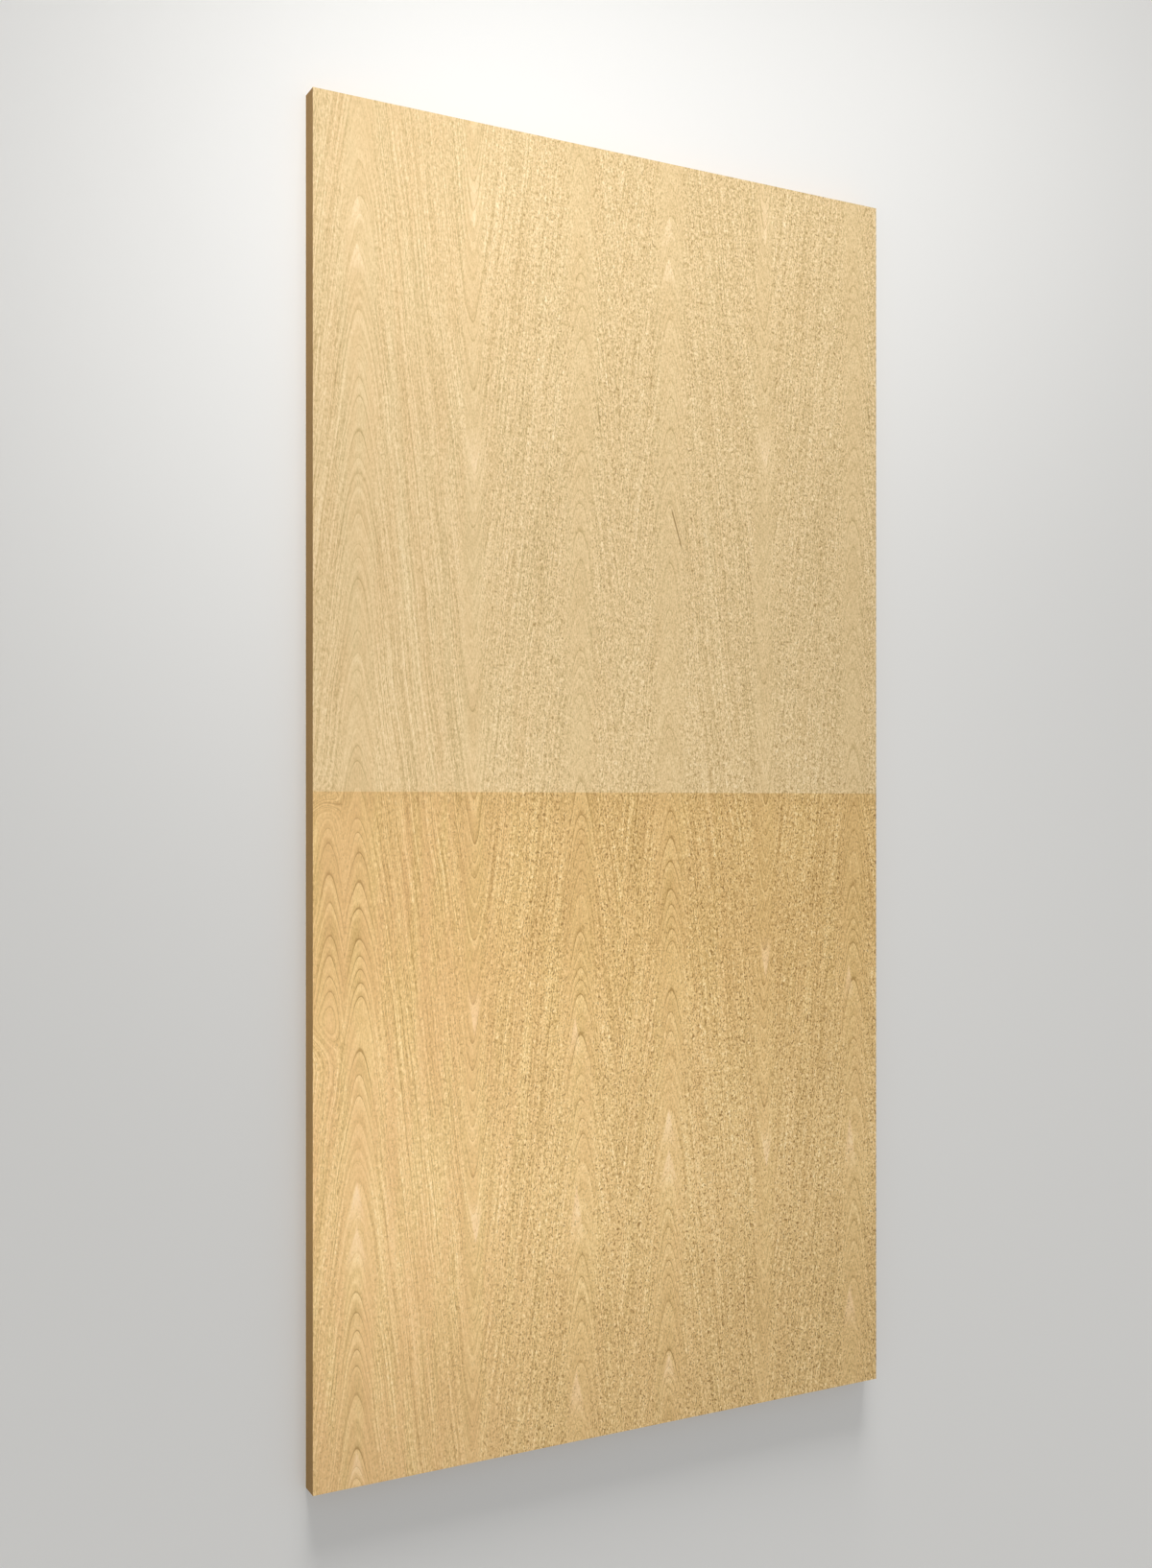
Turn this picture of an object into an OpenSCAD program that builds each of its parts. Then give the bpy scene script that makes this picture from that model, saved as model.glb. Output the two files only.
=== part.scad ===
// Veneered board: a fibreboard core with crown-cut oak veneer on its face and a
// balancing veneer on its back, sawn square on all four edges.
// It lies flat with its face up. X runs across the grain, Y along it and Z up,
// and the origin is the middle of the underside.

/* [Board] */
// Width of the board, across the grain
board_w = 1220; // [600:1:1525]
// Length of the board, along the grain
board_l = 2440; // [1200:1:3100]

/* [Core] */
// Thickness of the fibreboard core
core_t = 38; // [6:1:46]

/* [Veneer] */
// Thickness of the face veneer
face_t = 0.6; // [0.5:0.1:3]
// Thickness of the balancing veneer on the back
back_t = 0.6; // [0.5:0.1:3]
// Distance from the centre line to the splice between the leaves
splice_x = 0; // [-250:1:250]

/* [Hidden] */

// Left and right edges of the board
left_x = -board_w / 2;
right_x = board_w / 2;

// Undersides of the layers, from the floor up
back_z = 0;
core_z = back_z + back_t;
face_z = core_z + core_t;

core_colour = [0.54, 0.43, 0.29];
face_colour = [0.84, 0.73, 0.55];
back_colour = [0.78, 0.66, 0.48];

// A full-length sheet from one x to another, lying on the given height
module layer(from_x, to_x, base_z, thickness) {
    translate([from_x, -board_l / 2, base_z])
        cube([to_x - from_x, board_l, thickness]);
}

module core_board() {
    color(core_colour) layer(left_x, right_x, core_z, core_t);
}

// The leaves of a side butt together at the splice and end flush with the core
module leaf_left(base_z, thickness) {
    layer(left_x, splice_x, base_z, thickness);
}

module leaf_right(base_z, thickness) {
    layer(splice_x, right_x, base_z, thickness);
}

module face_leaf_left() {
    color(face_colour) leaf_left(face_z, face_t);
}

module face_leaf_right() {
    color(face_colour) leaf_right(face_z, face_t);
}

module back_leaf_left() {
    color(back_colour) leaf_left(back_z, back_t);
}

module back_leaf_right() {
    color(back_colour) leaf_right(back_z, back_t);
}

core_board();
face_leaf_left();
face_leaf_right();
back_leaf_left();
back_leaf_right();
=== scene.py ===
"""The looks of a veneered sheet: crown-cut oak leaves on a fibreboard core, face up on a pale floor.

The +Y half of the face is bare oak and the -Y half has a clear finish. Both face leaves are cut from
one flitch and slip matched, so the right leaf repeats the left leaf's figure with a small step.
Lengths in the materials are millimetres; places in the scene are metres.
"""

import math

import bpy
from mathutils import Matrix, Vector


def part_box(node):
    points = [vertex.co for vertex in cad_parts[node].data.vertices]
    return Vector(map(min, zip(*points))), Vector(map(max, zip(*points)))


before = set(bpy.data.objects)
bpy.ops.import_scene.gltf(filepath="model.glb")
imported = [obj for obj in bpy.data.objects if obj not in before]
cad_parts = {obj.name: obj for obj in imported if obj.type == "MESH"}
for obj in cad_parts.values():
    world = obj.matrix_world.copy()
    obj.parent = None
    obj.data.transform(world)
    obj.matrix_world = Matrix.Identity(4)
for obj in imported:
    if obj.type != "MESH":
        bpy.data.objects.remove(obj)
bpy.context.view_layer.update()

MM_PER_M = 1000.0
LEAF_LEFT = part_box("face_leaf_left")[0].x * MM_PER_M  # the left leaf's left edge

# Camera: it looks down on the sheet from the left, tipped towards it about the sheet's length.
CAMERA_AT = (-1.491, -0.021, 2.704)
CAMERA_TIP = math.radians(27.63)
FOCAL_SHARE = 1667 / 1634  # focal length as a share of the long side of the picture
SENSOR_MM = 36.0
CAMERA_SHIFT_Y = 0.0125

FLOOR_REACH = 30.0  # from the sheet's middle to each side of the floor


def linear(red, green, blue):
    """A linear colour, opaque, from display values of 0 to 255."""
    return (*(((v / 255 + 0.055) / 1.055) ** 2.4 for v in (red, green, blue)), 1.0)


# ---------------------------------------------------------------- arithmetic with node sockets


class Number:
    """A number that varies over a surface, as the output of a node. Arithmetic on it adds Math nodes."""

    def __init__(self, tree, socket):
        self.tree = tree
        self.socket = socket

    def math(self, operation, *others):
        node = self.tree.nodes.new("ShaderNodeMath")
        node.operation = operation
        for place, value in zip(node.inputs, (self, *others)):
            connect(self.tree, value, place)
        return Number(self.tree, node.outputs[0])

    def __add__(self, other):
        return self.math("ADD", other)

    __radd__ = __add__

    def __sub__(self, other):
        return self.math("SUBTRACT", other)

    def __rsub__(self, other):
        return (self * -1.0) + other

    def __mul__(self, other):
        return self.math("MULTIPLY", other)

    __rmul__ = __mul__

    def __truediv__(self, other):
        return self.math("DIVIDE", other)

    def step(self, low, high):
        """0 at low and 1 at high, smooth between. low may be the larger."""
        node = self.tree.nodes.new("ShaderNodeMapRange")
        node.interpolation_type = "SMOOTHSTEP"
        connect(self.tree, self, node.inputs["Value"])
        node.inputs["From Min"].default_value = low
        node.inputs["From Max"].default_value = high
        return Number(self.tree, node.outputs["Result"])

    def bell(self, middle, half_width):
        """1 at middle, falling smoothly to 0 at half_width to each side of it."""
        return (self - middle).math("ABSOLUTE").step(half_width, 0.0)


def connect(tree, value, socket):
    """Links a Number or an output socket to an input socket, or sets a plain value on it."""
    if isinstance(value, Number):
        tree.links.new(value.socket, socket)
    elif isinstance(value, bpy.types.NodeSocket):
        tree.links.new(value, socket)
    else:
        socket.default_value = value


def noise(tree, at, sizes, detail=0.0, roughness=0.5, seed=0.0):
    """Smooth noise from -1 to 1 about 0. at is one to three coordinates and sizes its size along each.
    The seed moves the noise of one or two coordinates, and noise of three has no use for it."""
    at = [value / size for value, size in zip(at, sizes)]
    node = tree.nodes.new("ShaderNodeTexNoise")
    node.inputs["Scale"].default_value = 1.0
    node.inputs["Detail"].default_value = detail
    node.inputs["Roughness"].default_value = roughness
    if len(at) == 1:
        node.noise_dimensions = "1D"
        connect(tree, at[0] + seed, node.inputs["W"])
    else:
        node.noise_dimensions = "3D"
        place = tree.nodes.new("ShaderNodeCombineXYZ")
        for value, socket in zip((*at, seed)[:3], place.inputs):
            connect(tree, value, socket)
        tree.links.new(place.outputs[0], node.inputs["Vector"])
    return Number(tree, node.outputs["Fac"]).math("MULTIPLY_ADD", 2.0, -1.0)


def mix_colour(tree, share, first, second):
    """The first colour where share is 0 and the second where it is 1."""
    node = tree.nodes.new("ShaderNodeMix")
    node.data_type = "RGBA"
    connect(tree, share, node.inputs["Factor"])
    for value, name in ((first, "A"), (second, "B")):
        socket = next(s for s in node.inputs if s.name == name and s.type == "RGBA")
        connect(tree, value, socket)
    return next(s for s in node.outputs if s.type == "RGBA")


def ramp(tree, tone, stops):
    """A colour ramp over a tone of 0 to 1. stops are (place, colour)."""
    node = tree.nodes.new("ShaderNodeValToRGB")
    connect(tree, tone, node.inputs["Fac"])
    elements = node.color_ramp.elements
    while len(elements) < len(stops):
        elements.new(0.5)
    for element, (place, colour) in zip(elements, stops):
        element.position = place
        element.color = colour
    return node.outputs["Color"]


def new_material(name):
    """An empty node material, its node tree, and the surface's own place in millimetres."""
    material = bpy.data.materials.new(name)
    material.use_nodes = True
    tree = material.node_tree
    tree.nodes.clear()
    where = tree.nodes.new("ShaderNodeTexCoord")
    split = tree.nodes.new("ShaderNodeSeparateXYZ")
    tree.links.new(where.outputs["Object"], split.inputs[0])
    place = [Number(tree, s) * MM_PER_M for s in split.outputs]
    return material, tree, place


def principled(tree, colour, roughness, height=None, depth=0.0):
    """The surface shader. height is a bump from 0 to 1 and depth its size in metres."""
    shader = tree.nodes.new("ShaderNodeBsdfPrincipled")
    output = tree.nodes.new("ShaderNodeOutputMaterial")
    connect(tree, colour, shader.inputs["Base Color"])
    connect(tree, roughness, shader.inputs["Roughness"])
    if height is not None:
        bump = tree.nodes.new("ShaderNodeBump")
        bump.inputs["Distance"].default_value = depth
        connect(tree, height, bump.inputs["Height"])
        tree.links.new(bump.outputs[0], shader.inputs["Normal"])
    tree.links.new(shader.outputs[0], output.inputs["Surface"])


# ---------------------------------------------------------------- the oak figure

FIRST_CROWN = 82.0  # from the leaf's left edge to its first column of crowns
CROWN_PITCH = 442.0  # between columns of crowns; a column of valleys lies midway
FLANK_SLOPE = 8.5  # how far a ring falls for each millimetre across, away from a crown
CROWN_ROUND = 26.0  # how far to each side of a crown its tip is rounded
VALLEY_ROUND = 13.0  # the same for a valley
TWIN_CROWN = 27.0  # a second, short column of crowns near the leaf's edge
TWIN_HALF_WIDTH = 40.0
TWIN_FADES_IN = (150.0, 100.0)  # across the leaf: no twin yet at the first and all of it at the second
TWIN_MIDDLE = -220.0  # from mid-length to the middle of that column
TWIN_REACH = 300.0  # how far it reaches up and down from there
RING_PITCH = 42.0  # between the dark lines of a column of crowns
JITTER = 130.0  # over about so many mm of rings, that pitch widens or narrows

# Sizes of the grain's layers, in mm: over the rings, along the leaf and across it.
BOLD_RINGS = (90, 400, 150)
BANDS = (120, 900, 300)
STRIPES = (40, 500, 200)
THREADS = (16, 300, 120)
# Sizes of the finest grain, in mm: across the leaf, along it and over the rings.
SPECKS = (2.3, 3.8, 60)
DASHES = (1.7, 9.0, 60)
PORES = (2.5, 5.0, 45)
PALE_BY = 0.24  # how much paler a tongue is, in steps of tone

TURNS_PER_MM = 2 * math.pi / CROWN_PITCH
CROWN_TIP = math.hypot(1.0, CROWN_ROUND * TURNS_PER_MM)
VALLEY_TIP = math.hypot(1.0, VALLEY_ROUND * TURNS_PER_MM)

# Pale tongues of the leaf, in mm from its left edge and from mid-length: across, along, long, wide.
# A tongue opens downwards from its tip, or upwards where long is negative.
PALE_TONGUES = [
    (80, 1060, 70, 16),
    (80, 972, 60, 20),
    (305, 1010, -120, 14),
    (305, 560, -90, 20),
    (306, -453, -85, 16),
    (308, -833, -80, 16),
    (80, -674, 80, 18),
    (80, -752, 80, 24),
    (80, -1150, 60, 18),
    (512, -413, 75, 14),
    (515, -725, 110, 17),
    (515, -1077, 90, 20),
]


def wander(tree, u, v, far, wide, long, seed):
    """A push on the figure of up to far, that changes over wide across and long along."""
    return far * noise(tree, (u, v), (wide, long), seed=seed)


def ring_height(u, crown):
    """How high a ring stands at u, in mm, with a crown at crown, straight flanks and valleys between."""
    wave = ((u - crown) * TURNS_PER_MM).math("COSINE")
    tip = VALLEY_TIP + (CROWN_TIP - VALLEY_TIP) * wave.step(-0.6, 0.6)
    return (wave / tip).math("ARCSINE") * (FLANK_SLOPE / TURNS_PER_MM)


def growth_rings(tree, u, v, seed, twins):
    """Where a point of the leaf lies in the log's taper, in mm (rings are its level lines), and how near
    it is to a column of crowns or valleys, from 0 to 1. twins is 1 where the short column shows."""
    broad = wander(tree, u, v, far=8, wide=260, long=520, seed=seed)
    small = wander(tree, u, v, far=2, wide=50, long=120, seed=seed + 5)
    u = u + broad + small
    broad = wander(tree, u, v, far=30, wide=110, long=240, seed=seed + 9)
    small = wander(tree, u, v, far=9, wide=28, long=60, seed=seed + 3)
    v = v + broad + small

    height = ring_height(u, FIRST_CROWN)
    beside_edge = u.step(*TWIN_FADES_IN)
    twinned = twins * v.bell(TWIN_MIDDLE, TWIN_REACH).step(0.0, 0.4) * beside_edge
    twin = twinned * (ring_height(u, TWIN_CROWN) - height).math("MAXIMUM", 0.0)

    phase = (u - FIRST_CROWN) * TURNS_PER_MM
    valley = phase.math("COSINE").step(0.2, -0.2)
    off_column = phase.math("SINE").math("ABSOLUTE") * (1.0 + 0.5 * valley)  # valleys are narrower
    twin_column = twinned * u.bell(TWIN_CROWN, TWIN_HALF_WIDTH).step(0.0, 0.5)
    return v - height - twin, off_column.step(0.60, 0.15).math("MAXIMUM", twin_column)


def ring_line(tree, rings, seed):
    """How dark a ring is, 1 on its line and fading above it, and how pale the wood below its line is."""
    jitter = noise(tree, (rings,), (JITTER,), seed=seed)
    part = (rings / RING_PITCH + jitter).math("FRACT")
    line = part.step(0.13, 0.04) * part.step(0.0, 0.02)
    shade = part.step(0.5, 0.05)
    return 0.75 * line + 0.25 * shade, part.step(0.4, 1.0)


def tongue(u, v, across, along, long, wide):
    """A pale tongue: 1 inside it and 0 outside."""
    away = (u - across).math("ABSOLUTE")
    from_tip = (along - v) * math.copysign(1.0, long)
    inside = (from_tip - away * (abs(long) / wide)).step(0, 0.25 * abs(long))
    return inside * (from_tip / abs(long)).step(1.25, 0.35)


def oak_tone(tree, u, v, seed, coarse, figure, twins):
    """The tone of crown-cut oak about 0.5, its open pores from 0 to 1, and its pale tongues, 0 to 1.
    coarse is how open the grain is, from 0 to 1.3, and figure how strongly the rings show, to 1."""
    rings, column = growth_rings(tree, u, v, seed, twins)
    line, paler = ring_line(tree, rings, seed + 31)
    bold = noise(tree, (rings, v, u), BOLD_RINGS).step(-0.35, 0.4)
    band = noise(tree, (rings, v, u), BANDS)
    stripe = noise(tree, (rings, v, u), STRIPES)
    thread = noise(tree, (rings, v, u), THREADS)
    thread_depth = 0.30 + 0.14 * figure - 0.08 * coarse - 0.20 * column
    line_depth = figure * (0.14 + 0.38 * bold) * (0.12 + 0.88 * column)
    tone = 0.5 + 0.04 * band + 0.03 * stripe + thread_depth * thread
    tone = tone - line_depth * line + 0.08 * figure * column * paler

    pale = tongue(u, v, *PALE_TONGUES[0])
    for place in PALE_TONGUES[1:]:
        pale = pale + tongue(u, v, *place)
    tone = tone + PALE_BY * pale

    calm = 1.0 - 0.5 * column  # the fine grain is quieter in a column
    across = u + wander(tree, rings, v, far=5, wide=80, long=40, seed=seed + 17)
    speck = noise(tree, (across, v, rings), SPECKS)
    dash = noise(tree, (across, v, rings), DASHES)
    speck_depth = (0.20 + 0.21 * coarse) * calm
    dash_depth = (0.34 + 0.08 * coarse) * calm
    tone = tone + speck_depth * speck + dash_depth * dash
    pores = noise(tree, (across, v, rings), PORES).step(0.22, 0.46)
    return tone, pores * (0.4 + 0.65 * coarse) * calm, pale


# ---------------------------------------------------------------- the materials

# Places on the board are in mm from its middle, and steps of tone run from 0 to 1.
SLIP_ACROSS = 637.0  # the flitch's next leaf repeats the figure this far to the right
SLIP_ALONG = 72.0  # and this far towards the bare end
FACE_SEED = 11.0
BACK_SEED = 71.0
BACK_FIGURE = 0.8  # width of the face's figure as a share of the back's

FINISH_LINE = 0.0  # the clear finish ends at mid-length
FINISH_EDGE = 0.8  # half the width of its edge
FINISH_THICK_EDGE = 55.0  # how far its darker edge reaches
THICK_EDGE_BY = 0.07  # how much darker that edge is
PAINTED_SHADE_AT = -220.0  # along the board: a broad patch of painted shade
PAINTED_SHADE_BY = 0.035
PAINTED_LIGHT_POOL_AT = -780.0  # and a broad painted pool of light
PAINTED_LIGHT_POOL_BY = 0.05
PAINTED_PATCH_REACH = 260.0  # how far each of these reaches to each side
PAINTED_SHEEN_SPAN = (-250.0, -650.0)  # along the board: a painted sheen pales the finish from the first to the second
PAINTED_SHEEN_BY = 0.22  # the share of the bare colour that shows where the painted sheen is strongest

BARE_CONTRAST = 0.82  # contrast of bare oak as a share of finished oak's
BACK_CONTRAST = 0.8
BLUSH_SIZES = (22, 260)  # sizes of the pink blush across the leaf and along it

GRAIN_OPENS = (-440.0, -130.0)  # across the board: from fine grain to open grain
GRAIN_OPENS_MORE = (-100.0, 600.0)  # and a little more open over this stretch
OPENS_MORE_BY = 0.3

STREAK_AT = (112.0, 555.0)  # one short dark mineral streak on the bare half: its upper end, on the board
STREAK_LONG = 85.0
STREAK_LEAN = 26.0  # how far its lower end lies to the right
STREAK_HALF_WIDTH = 3.0

BARE = [
    (0.00, linear(165, 137, 85)),
    (0.25, linear(194, 166, 114)),
    (0.50, linear(223, 195, 144)),
    (0.75, linear(241, 216, 169)),
    (1.00, linear(252, 236, 200)),
]
FINISHED = [
    (0.00, linear(162, 126, 62)),
    (0.25, linear(192, 155, 91)),
    (0.50, linear(221, 184, 119)),
    (0.75, linear(241, 208, 145)),
    (1.00, linear(252, 230, 177)),
]
CORE = [
    (0.0, linear(115, 84, 41)),
    (0.5, linear(154, 119, 65)),
    (1.0, linear(190, 151, 91)),
]
PORE = linear(142, 106, 48)
PINK = linear(236, 196, 156)
BLUSH = linear(226, 177, 122)
FLOOR_PAINT = linear(233, 232, 229)

# Sizes of the fibreboard's layers in mm, along x, y and z.
FIBRES = (1.6, 1.6, 0.5)
BUNDLES = (7.0, 7.0, 1.6)
BLOTCHES = (160.0, 160.0, 40.0)

# Bump depths in metres, and roughness.
PORE_DEEP = 0.00006
FIBRE_DEEP = 0.0004
ROUGH_BARE = 0.66
ROUGH_FINISHED = 0.40
ROUGH_BACK = 0.72
ROUGH_CORE = 0.85
ROUGH_FLOOR = 0.9


def quieter(tone, share):
    """The tone with its distance from the middle tone cut to a share."""
    return 0.5 + share * (tone - 0.5)


def mineral_streak(x, y):
    """1 in the middle of the streak and 0 off it."""
    below = (STREAK_AT[1] - y) / STREAK_LONG
    aside = x - STREAK_AT[0] - below * STREAK_LEAN
    return aside.bell(0.0, STREAK_HALF_WIDTH) * below.bell(0.5, 0.55).step(0.0, 0.3)


def face_veneer(name, slip_across, slip_along, twins):
    """Oak of the flitch's figure, bare above the finish line and finished below it."""
    material, tree, (x, y, _) = new_material(name)
    u = x - LEAF_LEFT - slip_across
    v = y - slip_along
    coarse = x.step(*GRAIN_OPENS) + OPENS_MORE_BY * x.step(*GRAIN_OPENS_MORE)
    finished = y.step(FINISH_LINE + FINISH_EDGE, FINISH_LINE - FINISH_EDGE)
    warmth = 0.4 + 0.6 * finished
    tone, pores, pale = oak_tone(tree, u, v, FACE_SEED, coarse, 0.6 + 0.4 * finished, twins)

    # The finish is darkest at its edge. Below that, painted shade darkens it near the line, a painted
    # pool of light brightens it farther down, and a painted sheen pales it towards the bottom.
    tone = tone - THICK_EDGE_BY * finished * y.step(FINISH_LINE - FINISH_THICK_EDGE, FINISH_LINE)
    tone = tone + PAINTED_LIGHT_POOL_BY * finished * y.bell(PAINTED_LIGHT_POOL_AT, PAINTED_PATCH_REACH)
    tone = tone - PAINTED_SHADE_BY * finished * y.bell(PAINTED_SHADE_AT, PAINTED_PATCH_REACH)
    finish_under_painted_sheen = finished * (1.0 - PAINTED_SHEEN_BY * y.step(*PAINTED_SHEEN_SPAN))
    bare_colour = ramp(tree, quieter(tone, BARE_CONTRAST), BARE)
    colour = mix_colour(tree, finish_under_painted_sheen, bare_colour, ramp(tree, tone, FINISHED))

    blush = noise(tree, (u, v), BLUSH_SIZES, seed=FACE_SEED + 23).step(-0.6, 0.5)
    colour = mix_colour(tree, (0.38 - 0.22 * coarse) * blush * warmth, colour, BLUSH)
    colour = mix_colour(tree, 0.35 * pale * warmth, colour, PINK)
    colour = mix_colour(tree, 0.85 * mineral_streak(x, y), colour, PORE)
    colour = mix_colour(tree, 0.8 * pores * (0.6 + 0.4 * finished), colour, PORE)
    roughness = ROUGH_BARE + (ROUGH_FINISHED - ROUGH_BARE) * finished + 0.15 * pores
    principled(tree, colour, roughness, 1.0 - pores, PORE_DEEP)
    return material


def back_veneer(name, slip_across):
    """Plain bare oak with a wider figure, open grain and no finish."""
    material, tree, (x, y, _) = new_material(name)
    u = x - LEAF_LEFT - slip_across
    tone, pores, _ = oak_tone(tree, u * BACK_FIGURE, y, BACK_SEED, coarse=0.8, figure=0.5, twins=0.0)
    colour = ramp(tree, quieter(tone, BACK_CONTRAST), BARE)
    colour = mix_colour(tree, 0.3 * pores, colour, PORE)
    principled(tree, colour, ROUGH_BACK, 1.0 - pores, PORE_DEEP)
    return material


def core_fibreboard(name):
    """Brown fibreboard: fine fibres, bundles of them and broad blotches."""
    material, tree, (x, y, z) = new_material(name)
    fibres = noise(tree, (x, y, z), FIBRES, detail=3.0, roughness=0.65)
    bundles = noise(tree, (x, y, z), BUNDLES, detail=2.0)
    blotch = noise(tree, (x, y, z), BLOTCHES)
    tone = 0.5 + 0.3 * fibres + 0.2 * bundles + 0.12 * blotch
    principled(tree, ramp(tree, tone, CORE), ROUGH_CORE, tone, FIBRE_DEEP)
    return material


def paint(node, material):
    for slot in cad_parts[node].material_slots:
        slot.material = material


# ---------------------------------------------------------------- stage, lamps and camera


def add_to_scene(name, data):
    thing = bpy.data.objects.new(name, data)
    bpy.context.scene.collection.objects.link(thing)
    return thing


def add_floor():
    near, far = -FLOOR_REACH, FLOOR_REACH
    mesh = bpy.data.meshes.new("floor")
    corners = [(near, near, 0), (far, near, 0), (far, far, 0), (near, far, 0)]
    mesh.from_pydata(corners, [], [(0, 1, 2, 3)])
    floor = add_to_scene("floor", mesh)
    material, tree, _ = new_material("floor_paint")
    principled(tree, FLOOR_PAINT, ROUGH_FLOOR)
    mesh.materials.append(material)
    return floor


def add_spot_lamp(name, at, aim, cone, watts, size=0.7):
    """A round lamp of radius size that shines from at to aim, in a cone of so many degrees."""
    data = bpy.data.lights.new(name, "SPOT")
    data.spot_size = math.radians(cone)
    data.spot_blend = 1.0
    data.shadow_soft_size = size
    data.energy = watts
    lamp = add_to_scene(name, data)
    lamp.location = at
    lamp.rotation_euler = (Vector(aim) - Vector(at)).to_track_quat("-Z", "Y").to_euler()
    return lamp


def add_sun(name, coming_from, softness, strength):
    """Even light from one direction. softness is how wide its disc looks, in degrees."""
    data = bpy.data.lights.new(name, "SUN")
    data.angle = math.radians(softness)
    data.energy = strength
    lamp = add_to_scene(name, data)
    lamp.rotation_euler = (-Vector(coming_from)).to_track_quat("-Z", "Y").to_euler()
    return lamp


def light_only_the_sheet(lamp):
    receivers = bpy.data.collections.new("lit by " + lamp.name)
    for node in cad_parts.values():
        receivers.objects.link(node)
    lamp.light_linking.receiver_collection = receivers


def cast_no_shadow_of_sheet(lamp, floor):
    blockers = bpy.data.collections.new("shaded by " + lamp.name)
    blockers.objects.link(floor)
    lamp.light_linking.blocker_collection = blockers


def add_world(strength, seen):
    """Even white light from all round, at strength. A ray that looks straight at it finds it at seen."""
    world = bpy.data.worlds.new("studio")
    world.use_nodes = True
    tree = world.node_tree
    ray = tree.nodes.new("ShaderNodeLightPath")
    ways_to_look = ("Is Camera Ray", "Is Glossy Ray", "Is Transmission Ray")
    camera, glossy, clear = (Number(tree, ray.outputs[name]) for name in ways_to_look)
    looks = camera.math("MAXIMUM", glossy).math("MAXIMUM", clear)
    background = tree.nodes["Background"]
    background.inputs["Color"].default_value = (1.0, 1.0, 1.0, 1.0)
    connect(tree, strength + (seen - strength) * looks, background.inputs["Strength"])
    bpy.context.scene.world = world


def add_camera():
    data = bpy.data.cameras.new("camera")
    data.sensor_width = SENSOR_MM
    data.lens = SENSOR_MM * FOCAL_SHARE
    data.shift_y = CAMERA_SHIFT_Y
    camera = add_to_scene("camera", data)
    camera.location = CAMERA_AT
    camera.rotation_euler = (0.0, -CAMERA_TIP, 0.0)
    bpy.context.scene.camera = camera


paint("core_board", core_fibreboard("fibreboard"))
paint("face_leaf_left", face_veneer("oak_face_left", 0.0, 0.0, twins=1.0))
paint("face_leaf_right", face_veneer("oak_face_right", SLIP_ACROSS, SLIP_ALONG, twins=0.0))
paint("back_leaf_left", back_veneer("oak_back_left", 0.0))
paint("back_leaf_right", back_veneer("oak_back_right", SLIP_ACROSS))

floor = add_floor()
add_world(strength=0.31, seen=0.58)
add_sun("low_sun", coming_from=(-0.02, 1.0, 0.19), softness=20, strength=2.8)
fill = add_sun("fill", coming_from=(0.0, 0.0, 1.0), softness=60, strength=0.60)
top = add_spot_lamp("top", at=(-1.80, 1.19, 1.80), aim=(0.78, 1.58, 0.0), cone=30, watts=243)
side = add_spot_lamp("side", at=(-1.00, 1.51, 1.50), aim=(-0.05, 0.83, 0.0), cone=86, watts=83)
low = add_spot_lamp("low", at=(-1.24, -0.72, 1.60), aim=(-0.30, -0.58, 0.0), cone=42, watts=121)
light_only_the_sheet(low)
for lamp in (fill, top, side):
    cast_no_shadow_of_sheet(lamp, floor)
add_camera()
bpy.context.scene.view_settings.view_transform = "Standard"
